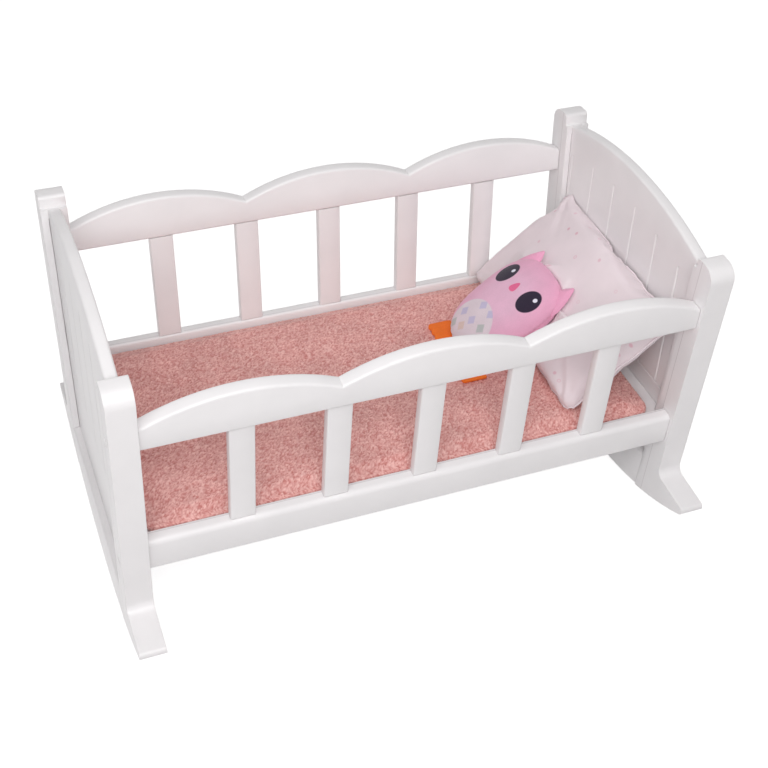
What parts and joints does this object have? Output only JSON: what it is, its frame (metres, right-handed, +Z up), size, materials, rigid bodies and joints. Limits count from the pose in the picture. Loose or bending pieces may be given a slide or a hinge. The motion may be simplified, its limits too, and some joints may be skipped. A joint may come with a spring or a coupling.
{
  "type": "doll cradle",
  "caption": "Rocking doll cradle with leaning slatted sides, scalloped top rails and arched, grooved end panels on curved rockers, holding a mattress, a pillow and a plush owl.",
  "frame": {"origin": "on the floor under the middle of the cradle", "axes": "X runs along the cradle, -Y is the front side, +Z is up; the pillow is at the +X end"},
  "size_m": [0.5, 0.341, 0.2947],
  "materials": {
    "white_paint": "satin white paint",
    "screw_steel": "zinc plated",
    "salmon_fleece": "curly fleece",
    "pale_pink_cotton": "printed cotton",
    "pink_plush": "short plush",
    "orange_felt": "felt"
  },
  "bodies": {
    "cradle": {"post_front_left": "white_paint", "post_front_right": "white_paint", "post_back_left": "white_paint", "post_back_right": "white_paint", "rocker_rail_left": "white_paint", "rocker_rail_right": "white_paint", "apron_left": "white_paint", "apron_right": "white_paint", "panel_left": "white_paint", "panel_right": "white_paint", "top_rail_front": "white_paint", "top_rail_back": "white_paint", "bottom_rail_front": "white_paint", "bottom_rail_back": "white_paint", "batten_front": "white_paint", "batten_back": "white_paint", "slat_front_1": "white_paint", "slat_front_2": "white_paint", "slat_front_3": "white_paint", "slat_front_4": "white_paint", "slat_front_5": "white_paint", "slat_back_1": "white_paint", "slat_back_2": "white_paint", "slat_back_3": "white_paint", "slat_back_4": "white_paint", "slat_back_5": "white_paint", "base_board": "white_paint", "screw_front_left_top": "screw_steel", "screw_front_left_bottom": "screw_steel", "screw_front_right_top": "screw_steel", "screw_front_right_bottom": "screw_steel", "screw_back_left_top": "screw_steel", "screw_back_left_bottom": "screw_steel", "screw_back_right_top": "screw_steel", "screw_back_right_bottom": "screw_steel"},
    "mattress": {"mattress": "salmon_fleece"},
    "pillow": {"pillow": "pale_pink_cotton"},
    "owl": {"owl_body": "pink_plush", "owl_ear_back": "pink_plush", "owl_ear_front": "pink_plush", "owl_foot_back": "orange_felt", "owl_foot_front": "orange_felt"}
  },
  "joints": [
    {"name": "mattress_lift", "type": "slide", "parent": "cradle", "child": "mattress", "axis": [0, 0, 1], "range_m": [0, 0.25]},
    {"name": "pillow_lift", "type": "slide", "parent": "mattress", "child": "pillow", "axis": [0, 0, 1], "range_m": [0, 0.2]},
    {"name": "owl_lift", "type": "slide", "parent": "pillow", "child": "owl", "axis": [0, 0, 1], "range_m": [0, 0.2]}
  ]
}
